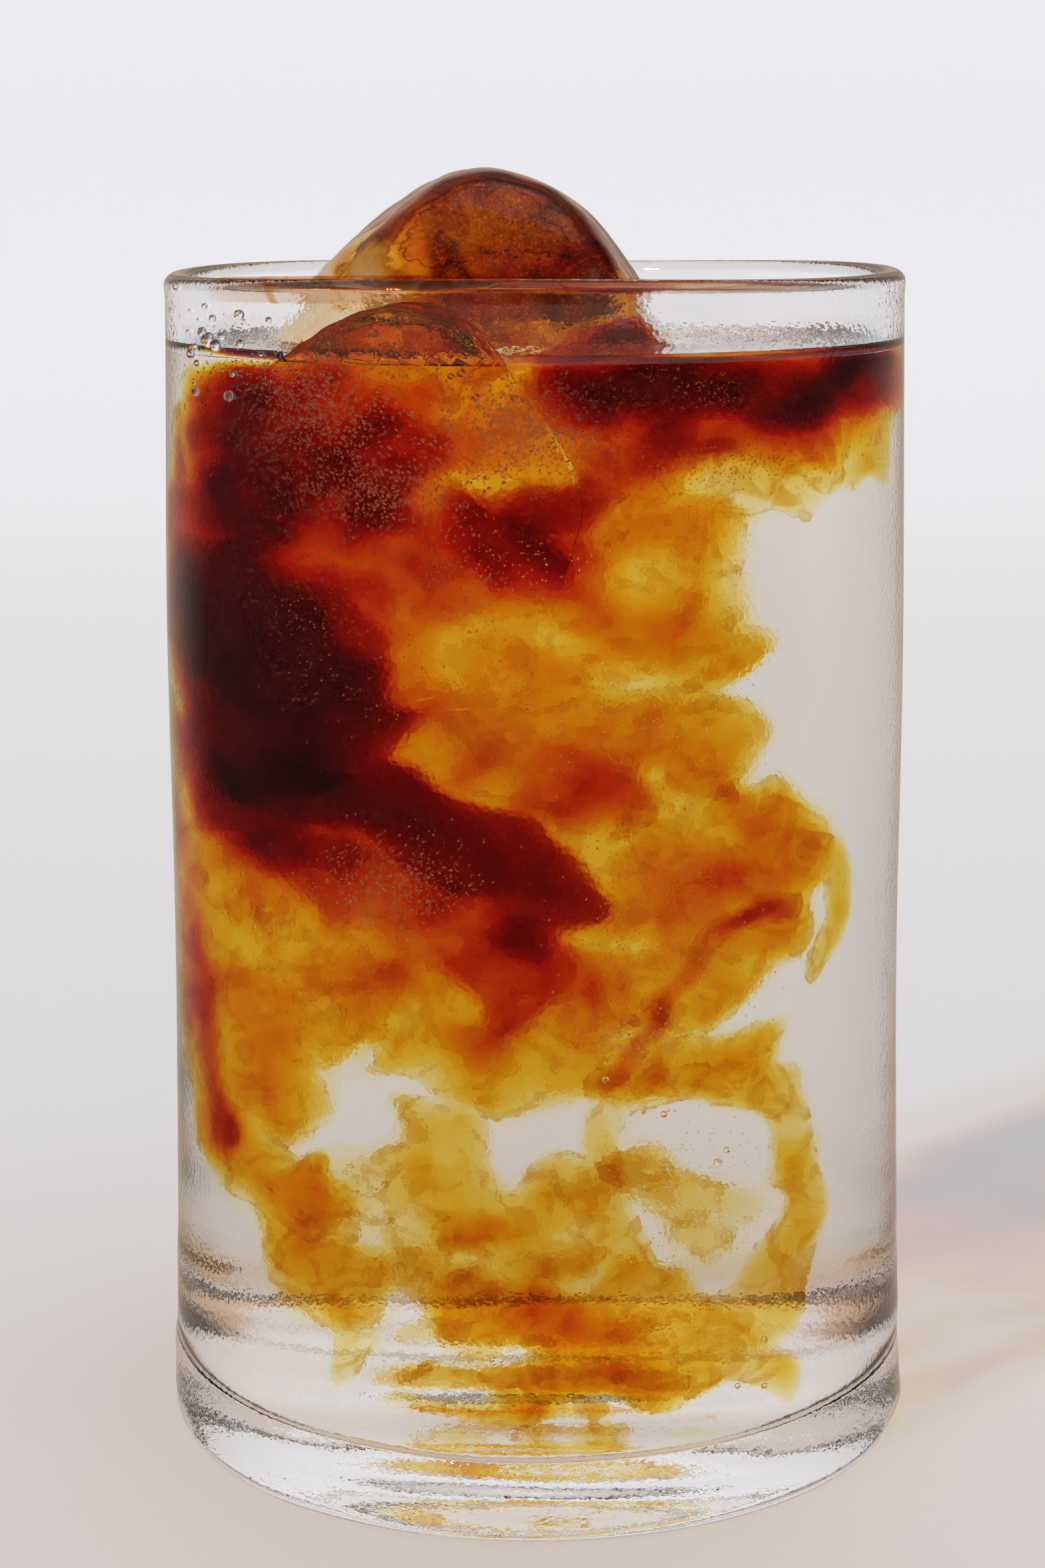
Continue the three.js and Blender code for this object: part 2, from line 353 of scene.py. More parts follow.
def make_wavy(nodes, links, shader, waves, grain):
    """Flat waves drawn out upwards, and on some surfaces a finer grain, as bump on a clear surface."""
    place = nodes.new("ShaderNodeTexCoord").outputs["Object"]
    stretch = new_node(nodes, "Mapping", Scale=(1, 1, 0.35))
    links.new(place, stretch.inputs["Vector"])
    texture = noise(nodes, links, stretch.outputs["Vector"], Scale=waves[0], Detail=1)
    surface = bump(nodes, links, texture, 1, waves[1])
    if grain:
        texture = noise(nodes, links, place, Scale=grain[0], Detail=1)
        surface = bump(nodes, links, texture, 1, grain[1], surface)
    links.new(surface.outputs["Normal"], shader.inputs["Normal"])


GLASS_IOR, WATER_IOR, ICE_IOR = 1.5, 1.33, 1.31
SAME_IOR = 1.0  # where ice or water meets what it is drawn inside of, the light goes straight on
SUNK_ICE_IOR = 1.003  # a hair more than that, so that the chunk's outline just shows
GLASS_TINT = (0.985, 0.985, 0.985)
# what a surface leaves of the light that goes on to the floor
GLASS_SHADE, WATER_SHADE = (0.995, 0.975, 0.94), (0.97, 0.96, 0.95)
glass_material = clear_material("clear_glass", GLASS_IOR, GLASS_SHADE, GLASS_TINT,
                                (60, 0.00014), (1700, 0.00002))
wetted_wall_material = clear_material("clear_glass_wetted", GLASS_IOR / WATER_IOR, GLASS_SHADE, GLASS_TINT,
                                      (60, 0.0003))
water_material = clear_material("water", WATER_IOR, WATER_SHADE, waves=(40, 0.00003))
unbent_material = clear_material("ice_met_by_water", SAME_IOR, WATER_SHADE)
water_at_wall_material = clear_material("water_at_wall", SAME_IOR, WATER_SHADE)
sunk_ice_material = clear_material("sunk_ice", SUNK_ICE_IOR, (0.99, 0.99, 0.99), waves=(120, 0.0003))
print("glass bends light by", GLASS_IOR, "and water by", WATER_IOR)


# %% [markdown]
# Coffee in water only absorbs light: blue first, then green, then red. So thin coffee is gold, thicker is
# orange, then red, then nearly black, and each cloud can be a closed skin filled with even absorption.


# %% Coffee material
COFFEE_TINT = (0.975, 0.83, 0.0)
HAZE_TINT, HAZE_STRENGTH = (0.64, 0.38, 0.0), 4.2  # the little coffee that has spread through all the water


def coffee_material(name, strength, thread_tint=None, tint=COFFEE_TINT):
    """Even coffee in a closed skin that doesn't bend light. Fine threads, drawn out downwards, may lie in
    the skin."""
    material, tree, out = new_material(name)
    nodes, links = tree.nodes, tree.links
    absorb = new_node(nodes, "VolumeAbsorption", Color=(*tint, 1), Density=strength)
    links.new(absorb.outputs[0], out.inputs["Volume"])
    if not thread_tint:
        return material
    place = nodes.new("ShaderNodeTexCoord").outputs["Object"]
    curls = noise(nodes, links, place, Scale=110, Detail=1)
    carried = nodes.new("ShaderNodeMix")
    carried.data_type = "VECTOR"
    carried.inputs["Factor"].default_value = 0.022
    links.new(place, carried.inputs["A"])
    links.new(curls.outputs["Color"], carried.inputs["B"])
    drawn_out = new_node(nodes, "Mapping", Rotation=(0, math.radians(25), 0), Scale=(1, 1, 0.3))
    links.new(carried.outputs["Result"], drawn_out.inputs["Vector"])
    threads = noise(nodes, links, drawn_out.outputs["Vector"], Scale=330, Detail=3)
    tones = colour_ramp(nodes, ((0.38, thread_tint), (0.47, (1, 1, 1))))
    links.new(threads.outputs["Fac"], tones.inputs["Fac"])
    skin = nodes.new("ShaderNodeBsdfTransparent")
    links.new(tones.outputs["Color"], skin.inputs["Color"])
    links.new(skin.outputs[0], out.inputs["Surface"])
    return material


print("coffee keeps red, green, blue:", COFFEE_TINT)


# %% [markdown]
# The glass: one profile spun about the axis, as a blower turns it. Foot, wall, lip, inside wall, floor.


# %% Glass
def arc(centre_r, centre_z, radius, from_degrees, to_degrees, steps):
    """Profile points round a corner."""
    angles = np.radians(np.linspace(from_degrees, to_degrees, steps + 1))
    return [(centre_r + radius * math.cos(a), centre_z + radius * math.sin(a)) for a in angles]


def inside_profile(top, grow, steps):
    """From the middle of the floor up the inside wall; grow moves it into the glass."""
    floor = FLOOR_LEVEL - grow
    corner_z = FLOOR_LEVEL + FLOOR_CORNER
    corner_r = float(inside_radius(corner_z)) - FLOOR_CORNER
    points = [(corner_r * s, floor + FLOOR_CROWN * (1 - s**2.2)) for s in np.linspace(0, 0.98, 12)]
    points += arc(corner_r, corner_z, FLOOR_CORNER + grow, -90, 0, 10)
    heights = set(np.linspace(corner_z, top, steps + 1)[1:]) | ({DRINK_LEVEL} if top > DRINK_LEVEL else set())
    points += [(float(inside_radius(z)) + grow, z) for z in sorted(heights)]
    return points


def blown(x, y, z, inside):
    """How far a blower's hand leaves the wall from true: flat waves at the foot, long ones above."""
    angle, up = math.atan2(y, x), z / MM
    seed = 1.7 if inside else 0.0
    foot = math.exp(-max(up - 4, 0) / 9)
    waves = (math.sin(3 * angle + 1.1 * math.sin(2 * angle + seed) + 0.6 * up + seed)
             + 0.6 * math.sin(7 * angle + 1.3 * up + 2 * math.sin(3 * angle) + 2 * seed))
    slow = math.sin(5 * angle + 0.05 * up + seed) * math.sin(0.09 * up + 2 * angle)
    return (0.15 * foot * waves + 0.05 * slow) * MM


def spun(name, profile, segments):
    """A closed solid: a profile from axis to axis, spun once round."""
    bm = bmesh.new()
    verts = [bm.verts.new((r, 0, z)) for r, z in profile]
    edges = [bm.edges.new(pair) for pair in zip(verts, verts[1:])]
    bmesh.ops.spin(bm, geom=verts + edges, cent=(0, 0, 0), axis=(0, 0, 1), angle=2 * math.pi,
                   steps=segments, use_merge=True)
    bmesh.ops.remove_doubles(bm, verts=bm.verts[:], dist=1e-6)
    for v in bm.verts:
        v.co.x, v.co.y = handmade(v.co.x, v.co.y, v.co.z)
        radius = math.hypot(v.co.x, v.co.y)
        inside = radius < float(inside_radius(v.co.z)) + 0.3 * MM
        wall_share = min(1, max(0, radius / (30 * MM) - 0.5) * 2)
        if radius > 0 and v.co.z > 0.5 * MM:
            push = 1 + wall_share * blown(v.co.x, v.co.y, v.co.z, inside) / radius
            v.co.x, v.co.y = v.co.x * push, v.co.y * push
    return smooth_mesh(name, bm)


def glass_profile():
    """Outside from the middle of the foot, up, over the lip and down the inside."""
    outside = [(float(outside_radius(z)), z) for z in np.linspace(FOOT_ROUNDING, LIP_Z - LIP_RADIUS, 60)]
    punt = [(CONTACT_RING * s, PUNT * (1 - s**2)) for s in np.linspace(0, 1, 40)]
    return (punt + arc(FOOT_RADIUS - FOOT_ROUNDING, FOOT_ROUNDING, FOOT_ROUNDING, -90, 0, 10) + outside[1:]
            + arc(LIP_R, LIP_Z, LIP_RADIUS, 0, 180, 14)
            + inside_profile(LIP_Z - LIP_RADIUS, 0, 60)[::-1])


glass = link("glass_tumbler", spun("glass_tumbler", glass_profile(), 192), glass_material)
for v in glass.data.vertices:
    up = v.co.z / GLASS_HEIGHT
    v.co.z += RIM_RISE * max(up, 0) ** 12 * math.sin(3 * math.atan2(v.co.y, v.co.x) + RIM_PHASE)
for v in glass.data.vertices:
    out = math.hypot(v.co.x, v.co.y) / CONTACT_RING
    if v.co.z < 1.2 * MM and out < 1:
        x, y = v.co.x / MM, v.co.y / MM
        ridges = 1 + math.cos(2 * math.pi * (y + 26.5 + 0.08 * x) / 18)
        v.co.z += TOOL_MARK * (1 - out**6) * ridges * math.exp(-(x / 17) ** 2)
glass.data.materials.append(wetted_wall_material)
for face in glass.data.polygons:
    # below the drink's level the wall's inside meets water, not air, so it bends and mirrors far less
    out = Vector((face.center.x, face.center.y, 0)).length
    inner = out < float(inside_radius(face.center.z)) + 0.3 * MM and face.center.z > FLOOR_LEVEL - 0.2 * MM
    if inner and face.center.z < DRINK_LEVEL:
        face.material_index = 1
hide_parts("glass")
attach(glass, "root")
print("glass faces", len(glass.data.polygons))

# %% [markdown]
# Ice: facets that melting has rounded. In each direction the surface lies where the facets' distances, added
# up as a high power, come to one. The part above the water bends light as ice in air does. The part below
# barely bends it, because ice and water are nearly alike, and so each chunk is two closed pieces that
# overlap the water's surface by a hair. Facets are a direction and how far the ice reaches that way, in mm.

# %% Ice that stands out of the drink
ICE_SOFTNESS = 13
ICE_RIPPLE = 0.012
OVERLAP = 0.1 * MM
CROWN_CENTRE = (-6.5, 3.5, 101)
CROWN_FACETS = [
    (-0.38, -0.1, 0.92, 27.0), (0.3, 0.06, 0.95, 27.2), (-0.68, -0.08, 0.73, 22.6), (0.87, -0.08, 0.49, 22.2),
    (0.1, -0.93, 0.36, 17.6), (-0.62, -0.7, 0.36, 21.0), (0.05, 0.9, 0.43, 19.5), (-0.97, 0.05, 0.1, 21.6),
    (0.97, 0.1, -0.2, 20.5), (0.1, 0.98, -0.15, 19.5), (0.12, -0.96, -0.25, 13.6), (0.1, 0.05, -0.99, 23.0)]
FRONT_CENTRE = (-13.5, -21.5, 97)
FRONT_FACETS = [
    (-0.4, 0.1, 0.91, 16.7), (0.3, 0.12, 0.95, 18.6), (-0.86, 0.1, 0.5, 15.2), (0.84, 0.1, 0.54, 15.4),
    (-0.1, -1, 0.05, 14.5), (0.1, 0.97, 0.2, 8.6), (-0.95, 0.2, -0.25, 15.0), (0.95, 0.15, -0.3, 14.8),
    (0.1, 0.05, -0.99, 17.5)]


def ice_reach(direction, facets):
    """How far the ice reaches from its centre in unit directions, in mm."""
    normals = np.array([f[:3] for f in facets])
    normals /= np.linalg.norm(normals, axis=1)[:, None]
    total = 0
    for normal, facet in zip(normals, facets):
        total = total + (np.maximum(0, direction @ normal) / facet[3]) ** ICE_SOFTNESS
    x, y, z = direction[..., 0], direction[..., 1], direction[..., 2]
    ripple = np.sin(7 * x + 3 * z) * np.sin(6 * y - 4 * x) * np.sin(5 * z + 2 * y + 1)
    return total ** (-1 / ICE_SOFTNESS) * (1 + ICE_RIPPLE * ripple)


def ice_chunk(name, centre, facets, material, cut, keep_above=True, into_wall=0.0, dents=0.0):
    """A closed chunk of ice, kept above or below a level, with small melt dents, inside the wall."""
    bm = bmesh.new()
    bmesh.ops.create_icosphere(bm, subdivisions=6, radius=1)
    directions = np.array([v.co for v in bm.verts])
    directions /= np.linalg.norm(directions, axis=1)[:, None]
    x, y, z = directions.T
    dent = np.sin(19 * x + 11 * z + 2) * np.sin(17 * y - 13 * x) * np.sin(23 * z + 7 * y)
    places = (np.array(centre) + directions * (ice_reach(directions, facets) + dents * dent)[:, None]) * MM
    out = np.hypot(places[:, 0], places[:, 1])
    share = np.minimum(1, (inside_radius(places[:, 2]) + into_wall) / np.maximum(out, 1e-9))
    places[:, :2] *= share[:, None]
    for v, place in zip(bm.verts, places):
        v.co = place
    everything = bm.verts[:] + bm.edges[:] + bm.faces[:]
    cut_edges = bmesh.ops.bisect_plane(bm, geom=everything, plane_co=(0, 0, cut), plane_no=(0, 0, 1),
                                       clear_inner=keep_above, clear_outer=not keep_above)
    rim = [e for e in cut_edges["geom_cut"] if isinstance(e, bmesh.types.BMEdge)]
    for face in bmesh.ops.edgeloop_fill(bm, edges=rim)["faces"]:
        face.material_index = 1
    mesh = smooth_mesh(name, bm)
    for face in mesh.polygons:
        face.use_smooth = face.material_index == 0
    piece = link(name, mesh, material)
    mesh.materials.append(unbent_material)
    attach(piece, "root")
    return piece


def stain_and_highlight_ice_material(name, seam, streaks_and_highlights_of, hollows_of, dot_depth):
    """Ice that coffee ran over: streaks left of a seam, their palest tones painted highlights, mottled
    hollows with fine dots right of it.
    """
    material = clear_material(name, ICE_IOR, (0.8, 0.6, 0.4), waves=(110, 0.0006), grain=(700, 0.00005))
    nodes, links = material.node_tree.nodes, material.node_tree.links
    shader = next(n for n in nodes if n.type == "BSDF_PRINCIPLED")
    place = next(n for n in nodes if n.type == "TEX_COORD").outputs["Object"]
    run = nodes.new("ShaderNodeMapping")
    run.vector_type = "TEXTURE"
    run.inputs["Rotation"].default_value = (0, math.radians(43), 0)
    run.inputs["Scale"].default_value = (0.0035, 0.008, 0.024)
    links.new(place, run.inputs["Vector"])
    streaks = noise(nodes, links, run.outputs["Vector"], Scale=1.0, Detail=4, Distortion=0.5)
    stain_and_highlight_tones = colour_ramp(nodes, streaks_and_highlights_of)
    links.new(streaks.outputs["Fac"], stain_and_highlight_tones.inputs["Fac"])
    mottle = noise(nodes, links, place, Scale=230, Detail=8, Roughness=0.72, Distortion=0.7)
    dots = new_node(nodes, "TexVoronoi", Scale=2300)
    links.new(place, dots.inputs["Vector"])
    dot_share = new_node(nodes, "MapRange", From_Min=0.15, From_Max=0.45, To_Min=dot_depth, To_Max=0)
    links.new(dots.outputs["Distance"], dot_share.inputs["Value"])
    level = nodes.new("ShaderNodeMath")
    level.operation = "ADD"
    links.new(mottle.outputs["Fac"], level.inputs[0])
    links.new(dot_share.outputs["Result"], level.inputs[1])
    hollow_tones = colour_ramp(nodes, hollows_of)
    links.new(level.outputs[0], hollow_tones.inputs["Fac"])
    parts = nodes.new("ShaderNodeSeparateXYZ")
    links.new(place, parts.inputs[0])
    side = new_node(nodes, "MapRange", From_Min=(seam - 1) * MM, From_Max=(seam + 1) * MM)
    side.interpolation_type = "SMOOTHSTEP"
    links.new(parts.outputs["X"], side.inputs["Value"])
    ice_colour = nodes.new("ShaderNodeMix")
    ice_colour.data_type = "RGBA"
    links.new(side.outputs["Result"], ice_colour.inputs["Factor"])
    links.new(stain_and_highlight_tones.outputs["Color"], ice_colour.inputs["A"])
    links.new(hollow_tones.outputs["Color"], ice_colour.inputs["B"])
    links.new(ice_colour.outputs["Result"], shader.inputs["Base Color"])
    return material


# coffee stain on the ice above the water; the palest stops of the streak ramps are painted highlights that
# run along the slope
CROWN_STAIN_AND_HIGHLIGHT_STREAKS = ((0.34, (0.42, 0.13, 0.05)), (0.46, (0.95, 0.52, 0.15)), (0.54, (0.98, 0.76, 0.42)),
                 (0.62, (0.90, 0.50, 0.20)), (0.72, (0.70, 0.38, 0.28)))
CROWN_HOLLOWS = ((0.40, (0.07, 0.012, 0.005)), (0.52, (0.38, 0.11, 0.03)), (0.70, (0.80, 0.36, 0.12)))
FRONT_STAIN_AND_HIGHLIGHT_STREAKS = ((0.38, (0.62, 0.26, 0.08)), (0.52, (0.98, 0.55, 0.16)), (0.66, (1.0, 0.80, 0.50)))
FRONT_HOLLOWS = ((0.38, (0.85, 0.42, 0.10)), (0.60, (1.0, 0.74, 0.36)))
crown_stain_and_highlight = stain_and_highlight_ice_material("crown_ice_stain_and_highlight", -10.6, CROWN_STAIN_AND_HIGHLIGHT_STREAKS, CROWN_HOLLOWS, 0.16)
front_stain_and_highlight = stain_and_highlight_ice_material("front_ice_stain_and_highlight", -17.0, FRONT_STAIN_AND_HIGHLIGHT_STREAKS, FRONT_HOLLOWS, 0.10)
CUT_OUT, CUT_SUNK = DRINK_LEVEL - OVERLAP, DRINK_LEVEL - 1.5 * OVERLAP
crown_top = ice_chunk("crown_ice_top", CROWN_CENTRE, CROWN_FACETS, crown_stain_and_highlight, cut=CUT_OUT, dents=0.12)
crown_sunk = ice_chunk("crown_ice_sunk", CROWN_CENTRE, CROWN_FACETS, sunk_ice_material, cut=CUT_SUNK,
                       keep_above=False, dents=0.12)
front_top = ice_chunk("front_ice_top", FRONT_CENTRE, FRONT_FACETS, front_stain_and_highlight, cut=CUT_OUT,
                      into_wall=OVERLAP, dents=0.15)
front_sunk = ice_chunk("front_ice_sunk", FRONT_CENTRE, FRONT_FACETS, sunk_ice_material, cut=CUT_SUNK,
                       keep_above=False, into_wall=OVERLAP, dents=0.15)
for piece in (crown_top, crown_sunk):
    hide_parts("ice_crown")
for piece in (front_top, front_sunk):
    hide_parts("ice_front")
print("ice top, mm:", round(max(v.co.z for v in crown_top.data.vertices) / MM, 1))

# %% [markdown]
# The drink reaches just into the wall, so that no air shows between water and glass. Its surface climbs a
# little where it meets the wall and the ice, and inside the ice's outline it doesn't bend light at all.

# %% Drink
INTO_WALL = 0.25 * MM
CLIMB, CLIMB_REACH = 0.55, 0.7  # mm up the ice, and how fast that fades with distance
SNAP = 0.3  # mm from the ice's outline, within which the surface's corners are moved onto it
SLOPE_STEP = 0.05  # mm
CLIMB_ENDS = 34  # mm from the axis, where the wall's own climb takes over


def outside_ice(x, y, z, centre, facets):
    """How far places in mm are outside a chunk of ice, negative inside."""
    away = np.stack(np.broadcast_arrays(x - centre[0], y - centre[1], z - centre[2]), -1)
    far = np.linalg.norm(away, axis=-1)
    return far - ice_reach(away / np.maximum(far, 1e-6)[..., None], facets)


def outside_both(x, y, z):
    """How far places in mm are outside both chunks of ice."""
    return np.minimum(outside_ice(x, y, z, CROWN_CENTRE, CROWN_FACETS),
                      outside_ice(x, y, z, FRONT_CENTRE, FRONT_FACETS))


def drink_mesh():
    """The water's whole body up to its level, with the small climb at the wall and at the ice."""
    top = DRINK_LEVEL + MENISCUS
    wall = float(inside_radius(top)) + INTO_WALL
    profile = inside_profile(top, INTO_WALL, 50)
    for s in np.linspace(0.05, 1, 12):
        profile.append((wall - INTO_WALL - 4 * MENISCUS * s, DRINK_LEVEL + MENISCUS * (1 - s) ** 3))
    inner = profile[-1][0]
    profile += [(inner * s, DRINK_LEVEL) for s in np.linspace(0.97, 0, 34)]
    mesh = spun("drink_body", profile, 180)
    bm = bmesh.new()
    bm.from_mesh(mesh)
    flat = [f for f in bm.faces if f.normal.z > 0.9 and f.calc_center_median().z > DRINK_LEVEL - 0.1 * MM]
    edges = list({e for f in flat for e in f.edges})
    bmesh.ops.subdivide_edges(bm, edges=edges, cuts=1, use_grid_fill=True)
    level = DRINK_LEVEL / MM
    surface = [v for v in bm.verts if v.co.z > DRINK_LEVEL - 0.1 * MM]
    x, y = (np.array([v.co[i] for v in surface]) / MM for i in (0, 1))
    gap = outside_both(x, y, level)
    slope_x = (outside_both(x + SLOPE_STEP, y, level) - gap) / SLOPE_STEP
    slope_y = (outside_both(x, y + SLOPE_STEP, level) - gap) / SLOPE_STEP
    steep = np.maximum(slope_x**2 + slope_y**2, 0.05)
    snap = (np.abs(gap) < SNAP) & (np.hypot(x, y) < 32)
    for v, near, g, sx, sy, st in zip(surface, snap, gap, slope_x, slope_y, steep):
        if near:
            v.co.x -= g * sx / st * MM
            v.co.y -= g * sy / st * MM
            g = 0
        if g >= 0:
            from_end = CLIMB_ENDS - math.hypot(v.co.x, v.co.y) / MM
            v.co.z += CLIMB * MM * math.exp(-g / CLIMB_REACH) * min(1, max(0, from_end))
        else:
            v.co.z = DRINK_LEVEL - 0.5 * OVERLAP
    bm.to_mesh(mesh)
    bm.free()
    mesh.shade_smooth()
    return mesh


drink = link("drink_body", drink_mesh(), water_material)
drink.data.materials.append(water_at_wall_material)
centres = np.array([f.center for f in drink.data.polygons]) / MM
in_ice = outside_both(centres[:, 0], centres[:, 1], DRINK_LEVEL / MM) < 0
for face, centre, iced in zip(drink.data.polygons, centres, in_ice):
    if centre[2] < DRINK_LEVEL / MM - 0.2 or iced:
        face.material_index = 1
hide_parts("drink")
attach(drink, "root")
print("drink faces", len(drink.data.polygons))

# %% [markdown]
# Where a thing in the water seems to be isn't where it is: the round wall and the water act as a lens. This
# helper follows a sight line from the camera through the wall, so a cloud can be placed by where it shows.

# %% Looking into the drink
CAMERA_PLACE = np.array(camera.location) / MM
PLUMB_PIXEL_X = PHOTO_WIDTH / 2
RIM_PIXEL_Y = 425
WALL_BENDS = ((37.0, 1 / GLASS_IOR), (34.3, GLASS_IOR / WATER_IOR))  # radius in mm, ratio on the way in
print("camera, mm from the foot's centre:", CAMERA_PLACE.round(1))


def bend(direction, normal, ratio):
    """Snell's law for a unit direction that meets a surface whose normal faces it."""
    facing = -direction @ normal
    return ratio * direction + (ratio * facing - math.sqrt(1 - ratio**2 * (1 - facing**2))) * normal


def meet_wall(start, direction, radius):
    """Where a line first meets an upright cylinder about the axis."""
    a = direction[0] ** 2 + direction[1] ** 2
    b = start[0] * direction[0] + start[1] * direction[1]
    c = start[0] ** 2 + start[1] ** 2 - radius**2
    return start + (-b - math.sqrt(b * b - a * c)) / a * direction


def sight_line(pixel_x, pixel_y):
    """Where a pixel's sight line gets into the drink, and its heading. Over the rim: the camera."""
    across = (pixel_x - PLUMB_PIXEL_X) / FOCAL_PIXELS
    up = -(pixel_y - AXIS_PIXEL_Y) / FOCAL_PIXELS
    c, s = math.cos(math.radians(CAMERA_DOWN)), math.sin(math.radians(CAMERA_DOWN))
    direction = np.array([across, c + up * s, -s + up * c])
    direction /= np.linalg.norm(direction)
    place = CAMERA_PLACE
    if pixel_y < RIM_PIXEL_Y:
        return place, direction
    for radius, ratio in WALL_BENDS:
        place = meet_wall(place, direction, radius)
        normal = np.array([place[0], place[1], 0]) / math.hypot(place[0], place[1])
        direction = bend(direction, normal, ratio)
    return place, direction


def seen_at(pixel_x, pixel_y, depth):
    """The place in the drink, in mm, that shows at a pixel and lies depth behind the glass's axis."""
    place, direction = sight_line(pixel_x, pixel_y)
    return place + max(0, depth - place[1]) / direction[1] * direction


# %% [markdown]
# The clouds are drawn as strokes, each a path with a width and a strength, then stirred: every point looks
# back along a swirling flow to find the coffee that has drifted there. That rolls edges into curls.

